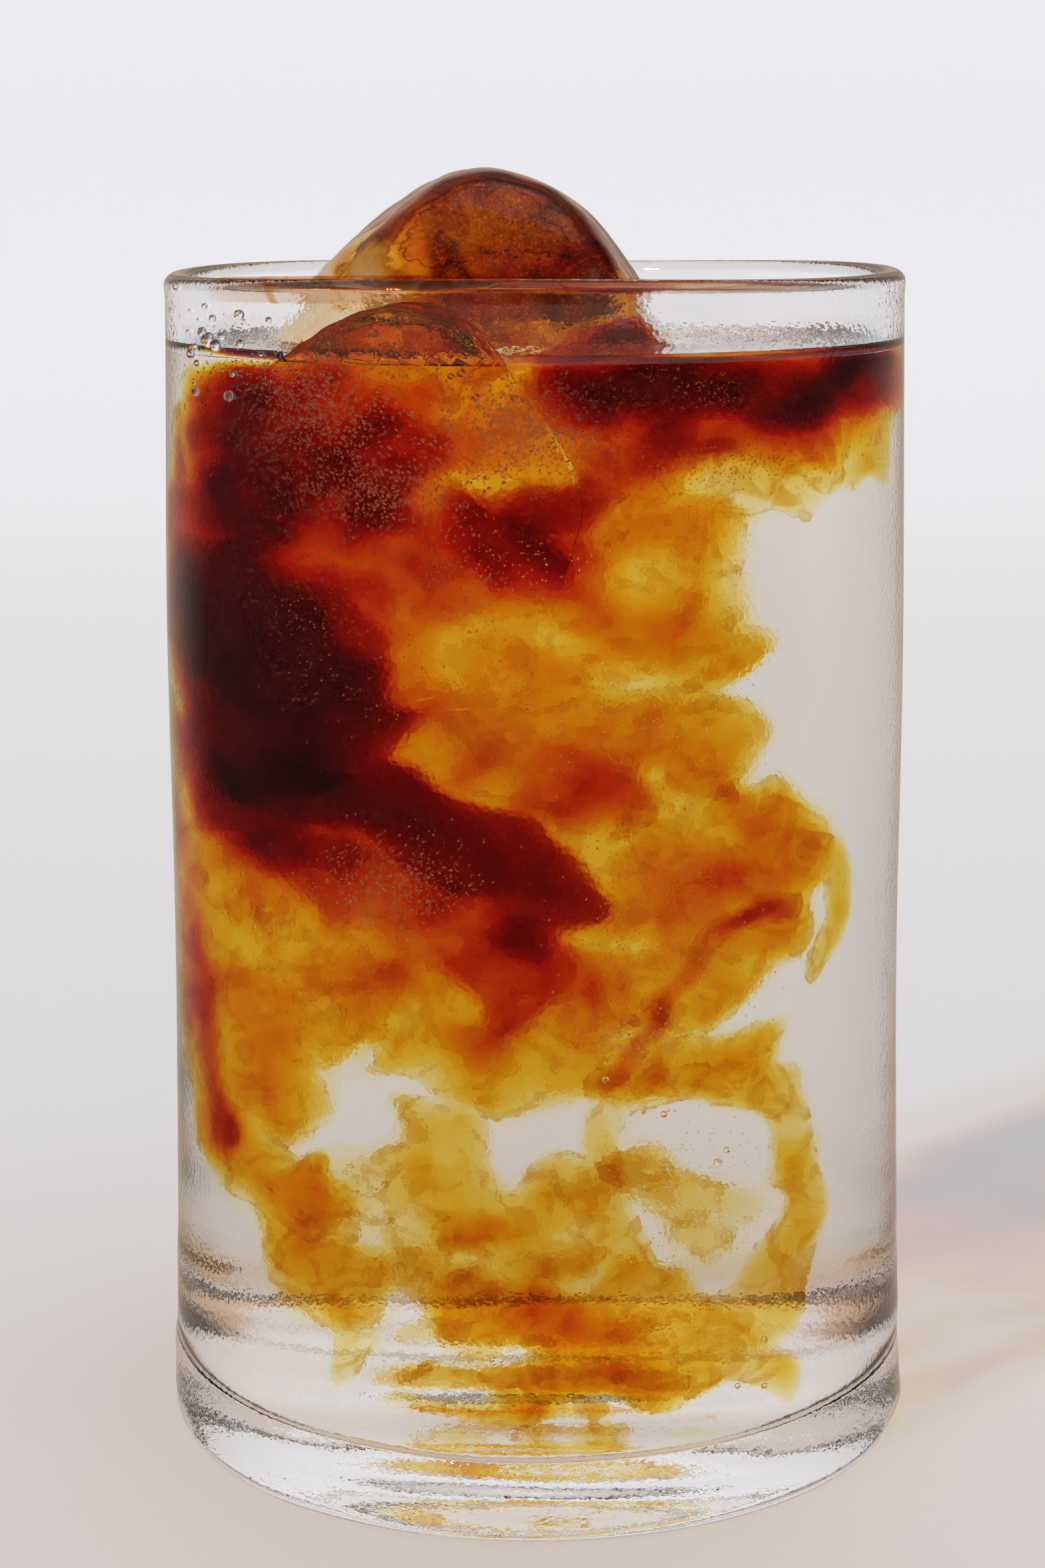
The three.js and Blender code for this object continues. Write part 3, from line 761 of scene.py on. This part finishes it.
# %% Strokes of coffee
# what it is, strength, width in mm, path as (pixel x, pixel y, depth in mm)
STROKES = [
    ("surface layer, front right", 4.2, 3.8,
     [(860, 585, -26), (1000, 590, -28), (1180, 590, -24), (1335, 575, -8)]),
    ("surface layer, deeper", 4, 4.5, [(880, 560, -10), (1000, 575, -8), (1180, 575, 0), (1300, 575, 8)]),
    ("surface layer, back", 2.0, 4.0, [(940, 560, 20), (1000, 570, 20), (1150, 575, 16)]),
    ("red under the surface layer", 2.6, 4.0,
     [(960, 660, -25), (1100, 645, -24), (1230, 640, -20), (1300, 640, -14)]),
    ("gold fringe", 0.6, 4.2, [(1000, 715, -20), (1080, 695, -24), (1160, 690, -24), (1240, 685, -21)]),
    ("hook at the right wall", 1.5, 2.6,
     [(1310, 600, -16), (1338, 645, -12), (1325, 690, -12), (1285, 700, -16)]),
    ("thin tendril", 0.9, 0.9, [(1110, 705, -26), (1150, 738, -26), (1190, 755, -25), (1245, 730, -24)]),
    ("orange behind the crown ice", 0.6, 7, [(640, 640, 14), (760, 640, 14), (900, 640, 12), (960, 690, 10)]),
    ("orange before the crown ice", 0.6, 3.6,
     [(660, 640, -18), (760, 620, -18), (880, 630, -18), (940, 680, -18)]),
    ("orange over the dark streak", 0.75, 4.4,
     [(600, 690, -14), (690, 695, -14), (790, 690, -14), (860, 670, -14)]),
    ("dark streak under the crown ice", 6, 2.3,
     [(1010, 640, -24), (930, 690, -24), (860, 740, -24), (760, 770, -22)]),
    ("coffee over the crown, back", 1.0, 5.5, [(640, 330, 4), (720, 340, 4), (800, 350, 4), (860, 390, 4)]),
    ("coffee over the crown, low", 1.5, 4.5, [(640, 405, -2), (740, 410, -2), (850, 405, -2)]),
    ("coffee over the crown, peak", 1.3, 2.6, [(650, 290, 0), (700, 285, 0), (760, 300, 0)]),
    ("coffee in the crown, under the rim", 1.0, 5,
     [(620, 480, 0), (720, 500, 0), (860, 500, 0), (930, 510, 2)]),
    ("gold on the crown's slope", 0.6, 4, [(520, 400, 2), (570, 350, 2)]),
    ("gold in the front ice", 0.9, 4, [(430, 550, -12), (560, 520, -14), (700, 540, -14)]),
    ("speckled brown, front ice", 4.2, 5.4, [(330, 610, -12), (385, 640, -4), (450, 630, 0), (505, 645, 2)]),
    ("speckled brown, lower", 3.8, 6.4, [(345, 745, -8), (430, 740, 0), (530, 760, 2)]),
    ("orange in the front ice", 1.5, 4.6, [(500, 590, -4), (590, 620, -4), (600, 700, 0)]),
    ("left edge, high", 3.8, 4.2, [(262, 680, -12), (262, 760, -10), (262, 850, -10), (270, 1000, -12)]),
    ("left edge, low", 3.6, 4.4, [(275, 880, -12), (275, 1000, -12), (280, 1120, -14)]),
    ("left edge, foot", 2.8, 4.2, [(264, 1100, -10), (266, 1200, -10), (266, 1350, -10)]),
    ("left edge, knee", 3.5, 4.2, [(300, 1150, -12), (340, 1190, -8), (400, 1230, -4)]),
    ("dark body", 11, 8, [(330, 920, 0), (400, 1000, 2), (470, 1060, 2), (420, 1110, 2)]),
    ("dark body, upper", 2.6, 6, [(330, 790, 4), (400, 860, 6), (470, 930, 8)]),
    ("red middle", 1.6, 7.0, [(430, 790, 2), (560, 810, 4), (700, 820, 4), (820, 830, 2)]),
    ("maroon knot", 3.0, 3.4, [(690, 790, -10), (750, 850, -8), (800, 820, -8)]),
    ("gold right of the middle", 0.9, 5.5, [(940, 760, 0), (1010, 810, 0), (1020, 880, 0), (960, 930, 2)]),
    ("orange above the arm", 0.7, 4.6, [(860, 975, 2), (950, 965, 2), (1040, 985, 2)]),
    ("red under the knot", 2.2, 5, [(560, 900, 0), (700, 890, 0), (830, 890, 0)]),
    ("glow", 0.8, 5.5, [(640, 980, 2), (740, 990, 2), (800, 1040, 2)]),
    ("orange arm", 0.85, 5.5,
     [(640, 1080, 0), (780, 1080, 0), (900, 1090, -2), (1010, 1080, -4), (1060, 1120, -6)]),
    ("orange belt", 1.5, 6.0, [(560, 1010, 4), (620, 1110, 4), (760, 1160, 2), (880, 1190, 0)]),
    ("maroon diagonal", 12, 4.8, [(400, 1140, -2), (540, 1180, -2), (680, 1250, -4), (800, 1330, -6)]),
    ("maroon foot", 4.5, 4.2, [(700, 1290, -6), (770, 1350, -6), (800, 1380, -4)]),
    ("red belly", 2.6, 6.0, [(430, 1240, 2), (540, 1320, 2), (660, 1400, 0), (760, 1470, 0)]),
    ("orange skirt", 1.4, 4.5, [(560, 1450, -2), (660, 1520, -2), (780, 1550, -2), (880, 1540, -4)]),
    ("gold skirt", 0.8, 4.0, [(520, 1440, -2), (620, 1560, -4), (760, 1600, -4), (900, 1600, -6)]),
    ("left gold plume", 1.05, 6.2, [(350, 1290, -6), (350, 1400, -6), (370, 1520, -4), (400, 1620, -4)]),
    ("left gold plume, right", 0.7, 5, [(430, 1350, 2), (470, 1460, 2), (490, 1560, 4)]),
    ("red column at the left wall", 3.0, 5.4,
     [(276, 1330, -12), (282, 1450, -12), (292, 1580, -14), (310, 1680, -16)]),
    ("right billow, top", 1.1, 4.6,
     [(880, 1240, -8), (980, 1230, -10), (1060, 1230, -12), (1150, 1230, -14)]),
    ("right billow, middle", 1.3, 5.6,
     [(880, 1350, -6), (980, 1340, -8), (1080, 1310, -12), (1170, 1290, -14)]),
    ("right billow, low", 1.2, 5.6, [(860, 1480, -6), (960, 1490, -8), (1040, 1430, -10), (1120, 1370, -12)]),
    ("billow hook", 0.9, 1.9, [(1190, 1240, -20), (1248, 1310, -18), (1252, 1380, -18), (1215, 1425, -19)]),
    ("streak through the billow", 2.6, 1.6,
     [(1170, 1350, -22), (1080, 1420, -23), (980, 1530, -24), (910, 1620, -24)]),
    ("under the billow", 0.9, 3.8, [(870, 1600, -8), (960, 1620, -10), (1050, 1600, -12), (1110, 1600, -14)]),
    ("left cloud, low", 0.6, 5.2, [(370, 1740, -10), (430, 1810, -10), (470, 1880, -8), (500, 1920, -6)]),
    ("left cloud, right part", 0.4, 3.8, [(500, 1770, -4), (560, 1810, -4), (620, 1780, -6)]),
    ("orange spot", 1.7, 2.8, [(455, 1760, -16), (470, 1810, -16)]),
    ("bridge", 0.55, 3.0, [(520, 1900, -8), (600, 1880, -8), (660, 1850, -8)]),
    ("small wisp", 0.5, 1.7, [(505, 1960, -16), (520, 2010, -16), (505, 2045, -16)]),
    ("lower swirl", 0.65, 4.2, [(640, 1700, -8), (690, 1790, -10), (760, 1830, -12), (850, 1780, -12)]),
    ("lower swirl, inner", 1.0, 2.8, [(670, 1850, -16), (760, 1880, -16), (850, 1870, -16)]),
    ("ring, left", 0.75, 2.4, [(900, 1680, -20), (875, 1760, -20), (890, 1850, -20), (940, 1920, -20)]),
    ("ring, top", 0.7, 2.2, [(900, 1680, -18), (1000, 1640, -18), (1100, 1640, -18), (1170, 1690, -18)]),
    ("ring, right", 0.75, 3.0, [(1150, 1630, -18), (1190, 1740, -18), (1195, 1850, -18), (1170, 1960, -18)]),
    ("ring, veil", 0.35, 3.6, [(960, 1760, 4), (1050, 1800, 4), (1060, 1880, 4)]),
    ("ring, bottom", 0.9, 3.2, [(940, 1940, -18), (1040, 1980, -18), (1130, 1990, -18), (1180, 1950, -18)]),
    ("red heart at the bottom", 1.9, 2.2,
     [(740, 1990, -22), (830, 1990, -22), (930, 2005, -22), (1000, 2030, -20)]),
    ("wisps at the bottom", 1.1, 4.2,
     [(690, 1960, -20), (800, 1990, -20), (930, 2020, -20), (1060, 2030, -20)]),
    ("wisps at the bottom, low", 1.0, 3.2,
     [(780, 2110, -24), (830, 2080, -24), (920, 2070, -24), (1040, 2050, -22)]),
    ("bottom, further back", 0.45, 3.0, [(700, 2050, 0), (780, 2075, 2), (880, 2080, 4), (960, 2065, 4)]),
    ("wisps, right foot", 0.9, 2.8, [(1040, 2040, -20), (1100, 2050, -20), (1160, 2050, -20)]),
]
# what it is, strength, width in mm, path as (x, y, z) in mm
SETTLED = [
    ("thin layer on the floor, front", 0.9, 1.5,
     [(-12, -16, 7.6), (-4, -22, 7.4), (6, -22, 7.4), (14, -15, 7.6)]),
    ("thin layer on the floor, middle", 0.8, 1.5,
     [(-10, -6, 7.6), (-2, -9, 7.6), (8, -7, 7.6), (12, -2, 7.8)]),
    ("thin layer on the floor, back", 0.6, 1.8, [(-9, 7, 8.0), (-2, 5, 8.4), (6, 8, 8.4), (11, 11, 8.0)]),
    ("low cloud at the back", 0.6, 3.2, [(-8, 19, 11.0), (-2, 17, 11.0), (8, 18, 11.0)]),
]
# each level: field value, absorption per metre
LEVELS = [(0.12, 65), (0.28, 250), (0.6, 270), (1.1, 480), (1.8, 800), (2.8, 1300), (4.2, 2800)]
DARK_TINT, DARK_FROM = (0.955, 0.83, 0.0), 6  # the strongest levels also take out red
THREADS = {2: (0.90, 0.74, 0.42)}  # tint of the threads in a level's skin

VEIL, VEIL_REACH = 0.2, 1.5  # strength of the thin veil round a stroke, and how many widths it reaches
PUFF_EDGE = 1.8  # the higher, the sooner a stroke reaches its full strength from its edge inwards
VOXEL = 0.55  # mm
# each level stops this much sooner, in mm, at wall, floor and surface, so that no two skins touch there
SKIN_STEP = 0.06
WALL_GAP, LEVEL_GAP, FLOOR_GAP, ICE_GAP = 0.05, 0.3, 0.6, 0.15  # mm that all coffee keeps from what bounds it
LUMPS = [(4.5, 0.9), (2.2, 0.5)]  # size in mm and strength of the uneven spots in the strokes
LUMPS_LEVEL = 0.95
SWIRLS = [(14.0, 1.3, 2), (7.0, 2.2, 3), (3.6, 2.0, 3)]  # lump size in mm, push, steps
FLOW_STRIDE = 2  # the flow is smoother than the coffee, so it is followed on every second cell
ROOM_LOW = np.array([-35.0, -35.0, 7.0])
ROOM_HIGH = np.array([35.0, 35.0, 128.5])
CELLS = np.ceil((ROOM_HIGH - ROOM_LOW) / VOXEL).astype(int)
random = np.random.default_rng(11)


def blended(field, axis, low, t):
    """The field along one axis, read t of the way from cell low to the next."""
    shape = [1, 1, 1]
    shape[axis] = -1
    t = t.reshape(shape)
    return np.take(field, low, axis) * (1 - t) + np.take(field, low + 1, axis) * t


def smooth_random(cell, stride=1):
    """A smooth random field over the room, in -1..1, whose lumps are about cell mm across."""
    coarse = np.ceil((ROOM_HIGH - ROOM_LOW) / cell).astype(int) + 4
    field = random.uniform(-1, 1, coarse).astype(np.float32)
    for axis in range(3):
        at = np.arange(CELLS[axis] // stride + 2 if stride > 1 else CELLS[axis]) * stride * VOXEL / cell
        low = np.floor(at).astype(int)
        t = (at - low).astype(np.float32)
        field = blended(field, axis, low, t * t * (3 - 2 * t))
    return field


def sample(field, at):
    """The field's values at places given in cells, by straight-line blending."""
    low = [np.clip(np.floor(a).astype(np.int32), 0, n - 2) for a, n in zip(at, field.shape)]
    t = [np.clip(a - b, 0, 1).astype(np.float32) for a, b in zip(at, low)]
    flat = field.ravel()
    nx, ny, nz = field.shape
    base = (low[0] * ny + low[1]) * nz + low[2]
    total = 0
    for dx in (0, 1):
        for dy in (0, 1):
            for dz in (0, 1):
                weight = (t[0] if dx else 1 - t[0]) * (t[1] if dy else 1 - t[1]) * (t[2] if dz else 1 - t[2])
                total = total + weight * flat[base + (dx * ny + dy) * nz + dz]
    return total


def draw_strokes():
    """Lays the strokes on the grid: full strength along the path, fading quickly to nothing at the width."""
    field = np.zeros(CELLS, np.float32)
    seen = [(strength, width, [seen_at(*p) for p in path]) for _, strength, width, path in STROKES]
    laid = [(strength, width, [np.array(p) for p in path]) for _, strength, width, path in SETTLED]
    for strength, width, points in seen + laid:
        reach = width * VEIL_REACH
        for a, b in zip(points, points[1:]):
            low = np.clip(((np.minimum(a, b) - reach - ROOM_LOW) / VOXEL).astype(int), 0, CELLS - 1)
            high = np.clip(((np.maximum(a, b) + reach - ROOM_LOW) / VOXEL).astype(int) + 2, 1, CELLS)
            axes = [ROOM_LOW[i] + np.arange(low[i], high[i]) * VOXEL for i in range(3)]
            x, y, z = np.meshgrid(*axes, indexing="ij", sparse=True)
            along = b - a
            t = ((x - a[0]) * along[0] + (y - a[1]) * along[1] + (z - a[2]) * along[2]) / (along @ along)
            t = np.clip(t, 0, 1)
            gap = ((x - a[0] - t * along[0]) ** 2 + (y - a[1] - t * along[1]) ** 2
                   + (z - a[2] - t * along[2]) ** 2)
            puff = strength * np.clip(PUFF_EDGE * (1 - gap / width**2), 0, 1)
            puff = np.maximum(puff, VEIL * np.clip(1 - gap / reach**2, 0, 1))
            part = field[low[0]:high[0], low[1]:high[1], low[2]:high[2]]
            np.maximum(part, puff, out=part)
    return field


def stirred(field):
    """The field after a swirling flow has carried it: a flow with no sources, as water's is."""
    coarse = [n // FLOW_STRIDE + 2 for n in CELLS]
    start = np.meshgrid(*[np.arange(n, dtype=np.float32) for n in coarse], indexing="ij")
    at = list(start)
    for cell, push, steps in SWIRLS:
        swirl = [smooth_random(cell, FLOW_STRIDE) for _ in range(3)]
        slope = [np.gradient(s, VOXEL * FLOW_STRIDE) for s in swirl]
        flow = [slope[2][1] - slope[1][2], slope[0][2] - slope[2][0], slope[1][0] - slope[0][1]]
        speed = push * cell / 3 / (VOXEL * FLOW_STRIDE) / steps
        for _ in range(steps):
            now = [sample(f, at) for f in flow]
            at = [a - speed * n for a, n in zip(at, now)]
    fine = [np.arange(n, dtype=np.float32) / FLOW_STRIDE for n in CELLS]
    at = [spread(a, fine) * FLOW_STRIDE for a in at]
    return sample(field, at)


def spread(field, positions):
    """A coarse field read along finer rows of positions, one axis after the other."""
    for axis, at in enumerate(positions):
        low = np.minimum(np.floor(at).astype(int), field.shape[axis] - 2)
        field = blended(field, axis, low, at - low)
    return field


def coffee_field():
    """How strong the coffee is at each cell of the room: uneven strokes, then stirred."""
    (wide, much), (narrow, less) = LUMPS
    lumps = np.exp(much * smooth_random(wide) + less * smooth_random(narrow)) * LUMPS_LEVEL
    return stirred(draw_strokes() * lumps)


def room_for_coffee():
    """How far each cell is inside the water, in mm, negative elsewhere."""
    x, y, z = np.meshgrid(*[ROOM_LOW[i] + np.arange(CELLS[i]) * VOXEL for i in range(3)], indexing="ij",
                          sparse=True)
    wall = inside_radius(z * MM) / MM - WALL_GAP - np.sqrt(x * x + y * y)
    room = np.minimum(np.minimum(wall, DRINK_LEVEL / MM - LEVEL_GAP - z), z - FLOOR_LEVEL / MM - FLOOR_GAP)
    in_ice = -outside_both(x, y, z) - ICE_GAP
    return np.maximum(room, np.minimum(in_ice, wall)).astype(np.float32)


def add_skin(name, field, level, room, material):
    """A piece that is the closed skin round all coffee stronger than a level, kept inside the water."""
    inside = np.minimum((field - level) / level * 1.5, room)
    grid = openvdb.FloatGrid(3.0)
    grid.copyFromArray(np.clip(-inside, -3, 3).astype(np.float32))
    points, triangles, quads = grid.convertToPolygons(0.0, 0.3)
    points = (points * VOXEL + ROOM_LOW) * MM
    faces = [list(map(int, f)) for f in triangles] + [list(map(int, f)) for f in quads]
    mesh = bpy.data.meshes.new(name)
    mesh.from_pydata(points.tolist(), [], faces)
    mesh.validate()
    mesh.shade_smooth()
    skin = link(name, mesh, material)
    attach(skin, "root")
    print(name, len(faces), "faces")


def make_clouds():
    """One skin for each level of the coffee's strength, and one round all the water for the haze."""
    field = coffee_field()
    room = room_for_coffee()
    for number, (level, strength) in enumerate(LEVELS, 1):
        tint = DARK_TINT if number >= DARK_FROM else COFFEE_TINT
        add_skin(f"coffee_cloud_{number}", field, level, room - SKIN_STEP * number,
                 coffee_material(f"coffee_{number}", strength, THREADS.get(number), tint))
    add_skin("coffee_haze", room + 1, 1, room, coffee_material("coffee_haze", HAZE_STRENGTH, tint=HAZE_TINT))


make_clouds()

# %% [markdown]
# Bubbles: specks of air by the thousand in the ice and just behind the wall, and a few larger ones that cling
# to the glass. Each is a small ball that bends the light, and one piece holds each kind. Drops of water sit
# on the outside of the wall at the upper left.

# %% Bubbles
# where: centre x, y and half width, half height in pixels, how deep behind the wall in mm, how many
COFFEE_SPECKS = [
    (1080, 590, 260, 50, 2, 500), (1130, 695, 180, 45, 2, 500), (430, 930, 140, 190, 3, 500),
    (640, 860, 260, 110, 4, 800), (580, 1330, 130, 90, 2, 1300), (1010, 1380, 170, 170, 2, 900),
    (930, 1560, 100, 50, 2, 400), (1050, 1800, 170, 160, 2, 400), (800, 1060, 330, 110, 3, 500)]
ICE_SPECKS = [(450, 610, 150, 130, 5, 2200), (560, 740, 190, 60, 5, 900), (790, 640, 170, 90, 5, 1500)]
CROWN_SPECKS = [(755, 345, 110, 80, 9, 1600), (740, 485, 110, 50, 9, 700)]
CROWN_FRONT = -12  # mm behind the axis; specks in the crown ice start at this plane and not at the wall
# piece, where, least depth in mm, front plane, smallest and largest radius in mm, slot
SPECKS = [("specks_in_coffee", COFFEE_SPECKS, 0.3, None, 0.05, 0.13, "coffee"),
          ("specks_in_front_ice", ICE_SPECKS, 0.4, None, 0.07, 0.17, "ice"),
          ("specks_in_crown_ice", CROWN_SPECKS, 0.4, CROWN_FRONT, 0.07, 0.17, "ice")]
WALL_PIXELS = 275, 1325  # the wall's left and right edge
# drops of water on the wall: pixel x, y, spread in pixels, largest radius in mm
DROPS = [(330, 505, 26, 0.75), (375, 470, 22, 0.5), (300, 450, 20, 0.5), (350, 540, 24, 0.5),
         (290, 560, 16, 0.5)]
DROP_SIZES, DROP_RADIUS = 7, 36.95  # how many to each, and how far from the axis their centres are, in mm
# larger bubbles that cling to the wall: pixel x, y
SEEDS = [(632, 530), (655, 545), (675, 565), (690, 560), (713, 596), (770, 597), (905, 1620), (1100, 2080),
         (1140, 2080), (955, 2185), (1085, 1725), (1072, 1745), (992, 1672), (560, 500), (1140, 2010)]


def bubble_places(spots, near, front=None):
    """Random places just behind the wall, or behind a front plane, thickest in the middle of each spot."""
    places = []
    for centre_x, centre_y, half_x, half_y, deep, count in spots:
        for _ in range(count):
            pixel_x = np.clip(centre_x + half_x * random.normal(0, 0.45), *WALL_PIXELS)
            pixel_y = centre_y + half_y * random.normal(0, 0.45)
            if front is None:
                pixel_y = max(pixel_y, RIM_PIXEL_Y)
            place, direction = sight_line(pixel_x, pixel_y)
            if front is None:
                places.append(place + (near + deep * random.random() ** 1.6) * direction)
            else:
                places.append(place + (front + deep * random.random() - place[1]) / direction[1] * direction)
    return np.array(places)


def in_water_or_ice(places):
    """Which places are in the water or in ice, and not in the wall, the floor or the air above the drink."""
    x, y, z = places.T
    inside_wall = np.hypot(x, y) < inside_radius(z * MM) / MM - 0.15
    in_water = (z < DRINK_LEVEL / MM - 0.3) & (z > FLOOR_LEVEL / MM + 1.0)
    return inside_wall & (in_water | (outside_both(x, y, z) < -0.2))


def ball_piece(name, places, radii, subdivisions, material):
    """Many small balls as one mesh: one icosphere repeated at every place."""
    bm = bmesh.new()
    bmesh.ops.create_icosphere(bm, subdivisions=subdivisions, radius=1)
    ball = np.array([v.co for v in bm.verts])
    corners = np.array([[v.index for v in f.verts] for f in bm.faces])
    bm.free()
    verts = places[:, None, :] + ball[None] * radii[:, None, None]
    faces = corners[None] + (np.arange(len(places)) * len(ball))[:, None, None]
    mesh = bpy.data.meshes.new(name)
    mesh.from_pydata((verts.reshape(-1, 3) * MM).tolist(), [], faces.reshape(-1, 3).tolist())
    mesh.shade_smooth()
    piece = link(name, mesh, material)
    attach(piece, "root")
    print(name, len(places), "balls,", len(faces) * len(corners), "faces")
    return piece


bubble_material = clear_material("air_bubble", 1.2, (0.97, 0.97, 0.97), (0.97, 0.97, 0.97))
for name, spots, near, front, smallest, largest, slot in SPECKS:
    places = bubble_places(spots, near, front)
    if front is not None:
        places = places[outside_ice(*places.T, CROWN_CENTRE, CROWN_FACETS) < -0.4]
    drawn = len(places)
    places = places[in_water_or_ice(places)]
    print(name, "left out, in the air or the wall:", drawn - len(places))
    radii = smallest + (largest - smallest) * random.random(len(places)) ** 2
    ball_piece(name, places, radii, 1, bubble_material)
seed_places = np.array([sight_line(x, y)[0] + 0.8 * sight_line(x, y)[1] for x, y in SEEDS])
seed_places = seed_places[in_water_or_ice(seed_places)]
seed_radii = 0.28 + 0.16 * random.random(len(seed_places))
ball_piece("bubbles_on_the_wall", seed_places, seed_radii, 3, bubble_material)

drop_places, drop_radii = [], []
for pixel_x, pixel_y, spread_of, largest in DROPS:
    for share in np.linspace(0.25, 1, DROP_SIZES):
        x = pixel_x + spread_of * random.normal()
        y = pixel_y + spread_of * random.normal()
        place, _ = sight_line(max(x, WALL_PIXELS[0]), max(y, RIM_PIXEL_Y))
        outward = np.array([place[0], place[1], 0]) / math.hypot(place[0], place[1])
        drop_places.append(place + (DROP_RADIUS - math.hypot(place[0], place[1])) * outward)
        drop_radii.append(largest * share**1.6)
ball_piece("drops_on_the_wall", np.array(drop_places), np.array(drop_radii), 3, water_material)

# %% [markdown]
# A thin brown band along the front of the lip is painted in for the coffee that the lip bends into view. It
# is a small ring section turned part of the way round, a hair outside the glass, with its two ends closed.


# %% Painted coffee band on the lip
def painted_lip_band(name, thickness, from_degrees, to_degrees):
    """A thin coffee-coloured skin over the lip's outer half, painted in for coffee seen through the lip,
    thinning to both ends.
    """
    near = LIP_RADIUS + 0.03 * MM
    section = arc(LIP_R, LIP_Z, near + thickness, -35, 95, 12) + arc(LIP_R, LIP_Z, near, 95, -35, 12)
    turn, sweep_of = math.radians(from_degrees), math.radians(to_degrees - from_degrees)
    bm = bmesh.new()
    verts = [bm.verts.new((r * math.cos(turn), r * math.sin(turn), z)) for r, z in section]
    bmesh.ops.spin(bm, geom=[bm.faces.new(verts)], cent=(0, 0, 0), axis=(0, 0, 1), angle=sweep_of, steps=60)
    for v in bm.verts:
        angle = math.atan2(v.co.y, v.co.x) % (2 * math.pi)
        thin = math.sin(math.pi * min(1, max(0, (angle - turn) / sweep_of))) ** 0.7
        radius = math.hypot(v.co.x, v.co.y)
        from_lip = Vector((radius - LIP_R, v.co.z - LIP_Z))
        kept = near + max(0, from_lip.length - near) * (0.15 + 0.85 * thin)
        moved = from_lip.normalized() * kept
        v.co = (math.cos(angle) * (LIP_R + moved.x), math.sin(angle) * (LIP_R + moved.x), LIP_Z + moved.y)
        v.co.x, v.co.y = handmade(v.co.x, v.co.y, v.co.z)
        v.co.z += RIM_RISE * math.sin(3 * angle + RIM_PHASE)
    bmesh.ops.recalc_face_normals(bm, faces=bm.faces[:])
    mesh = bpy.data.meshes.new(name)
    bm.to_mesh(mesh)
    bm.free()
    painted_band = link(name, mesh, coffee_material(name, 2200, (0.9, 0.75, 0.6), (0.88, 0.62, 0.42)))
    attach(painted_band, "root")
    print(name, len(mesh.polygons), "faces")


painted_lip_band("painted_coffee_band_on_the_lip", 0.3 * MM, 214, 286)
